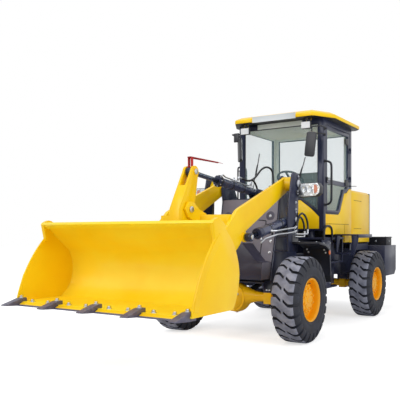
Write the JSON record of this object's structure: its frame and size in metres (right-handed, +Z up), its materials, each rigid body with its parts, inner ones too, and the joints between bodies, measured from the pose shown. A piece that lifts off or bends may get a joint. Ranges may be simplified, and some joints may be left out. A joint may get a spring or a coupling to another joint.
{
  "type": "compact articulated wheel loader",
  "caption": "Articulated wheel loader with a closed cab, a raised Z-bar loader arm and a toothed bucket, hinged at its middle to steer.",
  "frame": {"origin": "on the ground, in the middle of the overall length and width", "axes": "+Z up, -Y towards the bucket, +X towards the left side of the machine"},
  "size_m": [2.02, 6.44, 2.85],
  "materials": {
    "yellow_paint": "gloss",
    "grey_paint": "satin",
    "guard_paint": "satin",
    "axle_paint": "satin",
    "grille_paint": "satin",
    "cab_glazing": "clear",
    "cab_plastic": "matte",
    "seat_vinyl": "matte",
    "engine_iron": "matte",
    "black_plastic": "matte",
    "fender_plastic": "satin",
    "lamp_white": "gloss",
    "lamp_housing": "gloss",
    "edge_steel": "worn",
    "rod_chrome": "polished",
    "indicator_red": "gloss",
    "tyre_rubber": "matte"
  },
  "bodies": {
    "rear_body": {"rear_frame": "grey_paint", "side_steps": "grey_paint", "rear_fenders": "grey_paint", "rear_axle": "yellow_paint", "rear_drive_shaft": "axle_paint", "cab_shell": "grey_paint", "cab_panels": "yellow_paint", "cab_roof": "yellow_paint", "cab_glass": "cab_glazing", "console": "cab_plastic", "operator_seat": "seat_vinyl", "engine_hood": "yellow_paint", "rear_grille": "grille_paint", "engine_block": "engine_iron", "counterweight": "grey_paint", "battery_box": "black_plastic", "roof_lamps": "lamp_white", "mirrors": "black_plastic"},
    "front_body": {"front_frame": "grey_paint", "front_guard": "guard_paint", "front_axle": "yellow_paint", "front_fenders": "fender_plastic", "headlights": "lamp_housing", "front_drive_shaft": "axle_paint"},
    "boom": {"boom": "yellow_paint"},
    "bell_crank": {"bell_crank": "yellow_paint"},
    "tilt_link": {"tilt_link": "yellow_paint"},
    "bucket": {"bucket_shell": "yellow_paint", "bucket_edges": "edge_steel"},
    "lift_barrel_left": {"lift_barrel_left": "grey_paint"},
    "lift_barrel_right": {"lift_barrel_right": "grey_paint"},
    "lift_rod_left": {"lift_rod_left": "rod_chrome"},
    "lift_rod_right": {"lift_rod_right": "rod_chrome"},
    "tilt_barrel": {"tilt_barrel": "grey_paint"},
    "tilt_rod": {"tilt_rod": "rod_chrome", "level_indicator": "indicator_red"},
    "steer_barrel_left": {"steer_barrel_left": "grey_paint"},
    "steer_barrel_right": {"steer_barrel_right": "grey_paint"},
    "steer_rod_left": {"steer_rod_left": "rod_chrome"},
    "steer_rod_right": {"steer_rod_right": "rod_chrome"},
    "wheel_front_left": {"tyre_front_left": "tyre_rubber", "rim_front_left": "yellow_paint"},
    "wheel_front_right": {"tyre_front_right": "tyre_rubber", "rim_front_right": "yellow_paint"},
    "wheel_rear_left": {"tyre_rear_left": "tyre_rubber", "rim_rear_left": "yellow_paint"},
    "wheel_rear_right": {"tyre_rear_right": "tyre_rubber", "rim_rear_right": "yellow_paint"},
    "door": {"door_frame": "grey_paint", "door_glass": "cab_glazing"}
  },
  "joints": [
    {"name": "articulation", "type": "hinge", "parent": "rear_body", "child": "front_body", "pos_m": [0, 0.53, 0.77], "axis": [0, 0, 1], "range_deg": [-35, 35]},
    {"name": "boom_lift", "type": "hinge", "parent": "front_body", "child": "boom", "pos_m": [0, -0.26, 1.83], "axis": [-1, 0, 0], "range_deg": [-15.7, 68]},
    {"name": "bucket_tilt", "type": "hinge", "parent": "boom", "child": "bucket", "pos_m": [0, -2.27, 0.71], "axis": [-1, 0, 0], "range_deg": [-60, 45]},
    {"name": "bell_crank_swing", "type": "hinge", "parent": "boom", "child": "bell_crank", "pos_m": [0, -1.75, 1.476], "axis": [-1, 0, 0], "range_deg": [-20.66, 27.54]},
    {"name": "tilt_link_swing", "type": "hinge", "parent": "bell_crank", "child": "tilt_link", "pos_m": [0, -1.86, 1], "axis": [-1, 0, 0], "range_deg": [-38.56, 28.92]},
    {"name": "tilt_barrel_swing", "type": "hinge", "parent": "front_body", "child": "tilt_barrel", "pos_m": [0, -0.19, 1.74], "axis": [-1, 0, 0], "range_deg": [-14.93, 64.64]},
    {"name": "tilt_rod_slide", "type": "slide", "parent": "tilt_barrel", "child": "tilt_rod", "axis": [0, -0.9953, 0.0968], "range_m": [-0.1816, 0.1362]},
    {"name": "lift_barrel_swing_left", "type": "hinge", "parent": "front_body", "child": "lift_barrel_left", "pos_m": [0.536, -0.32, 1.395], "axis": [-1, 0, 0], "range_deg": [-15.47, 67]},
    {"name": "lift_rod_slide_left", "type": "slide", "parent": "lift_barrel_left", "child": "lift_rod_left", "axis": [0, -0.979, -0.204], "range_m": [-0.109, 0.4721]},
    {"name": "lift_barrel_swing_right", "type": "hinge", "parent": "front_body", "child": "lift_barrel_right", "pos_m": [-0.536, -0.32, 1.395], "axis": [-1, 0, 0], "range_deg": [-15.47, 67]},
    {"name": "lift_rod_slide_right", "type": "slide", "parent": "lift_barrel_right", "child": "lift_rod_right", "axis": [0, -0.979, -0.204], "range_m": [-0.109, 0.4721]},
    {"name": "steer_barrel_swing_left", "type": "hinge", "parent": "rear_body", "child": "steer_barrel_left", "pos_m": [0.245, 1, 0.77], "axis": [0, 0, 1], "range_deg": [-17.59, 17.59]},
    {"name": "steer_rod_slide_left", "type": "slide", "parent": "steer_barrel_left", "child": "steer_rod_left", "axis": [0.0499, -0.9988, 0], "range_m": [-0.1645, 0.1645]},
    {"name": "steer_barrel_swing_right", "type": "hinge", "parent": "rear_body", "child": "steer_barrel_right", "pos_m": [-0.245, 1, 0.77], "axis": [0, 0, 1], "range_deg": [-17.59, 17.59]},
    {"name": "steer_rod_slide_right", "type": "slide", "parent": "steer_barrel_right", "child": "steer_rod_right", "axis": [-0.0499, -0.9988, 0], "range_m": [-0.1645, 0.1645]},
    {"name": "wheel_spin_front_left", "type": "hinge", "parent": "front_body", "child": "wheel_front_left", "pos_m": [0.828, -0.66, 0.485], "axis": [1, 0, 0], "continuous": true},
    {"name": "wheel_spin_front_right", "type": "hinge", "parent": "front_body", "child": "wheel_front_right", "pos_m": [-0.828, -0.66, 0.485], "axis": [1, 0, 0], "continuous": true},
    {"name": "wheel_spin_rear_left", "type": "hinge", "parent": "rear_body", "child": "wheel_rear_left", "pos_m": [0.828, 1.79, 0.485], "axis": [1, 0, 0], "continuous": true},
    {"name": "wheel_spin_rear_right", "type": "hinge", "parent": "rear_body", "child": "wheel_rear_right", "pos_m": [-0.828, 1.79, 0.485], "axis": [1, 0, 0], "continuous": true},
    {"name": "door_hinge", "type": "hinge", "parent": "rear_body", "child": "door", "pos_m": [0.654, 1.518, 2.1], "axis": [0, 0, 1], "range_deg": [0, 95]}
  ],
  "couplings": [
    {"joint": "bell_crank_swing", "follows": "bucket_tilt", "ratio": -0.45},
    {"joint": "tilt_link_swing", "follows": "bucket_tilt", "ratio": 0.63},
    {"joint": "tilt_barrel_swing", "follows": "boom_lift", "ratio": 0.932},
    {"joint": "tilt_rod_slide", "follows": "bucket_tilt", "m_per_rad": 0.17},
    {"joint": "lift_barrel_swing_left", "follows": "boom_lift", "ratio": 0.966},
    {"joint": "lift_rod_slide_left", "follows": "boom_lift", "m_per_rad": 0.39},
    {"joint": "lift_barrel_swing_right", "follows": "boom_lift", "ratio": 0.966},
    {"joint": "lift_rod_slide_right", "follows": "boom_lift", "m_per_rad": 0.39},
    {"joint": "steer_barrel_swing_left", "follows": "articulation", "ratio": 0.4927},
    {"joint": "steer_rod_slide_left", "follows": "articulation", "m_per_rad": -0.264},
    {"joint": "steer_barrel_swing_right", "follows": "articulation", "ratio": 0.4927},
    {"joint": "steer_rod_slide_right", "follows": "articulation", "m_per_rad": 0.264}
  ]
}
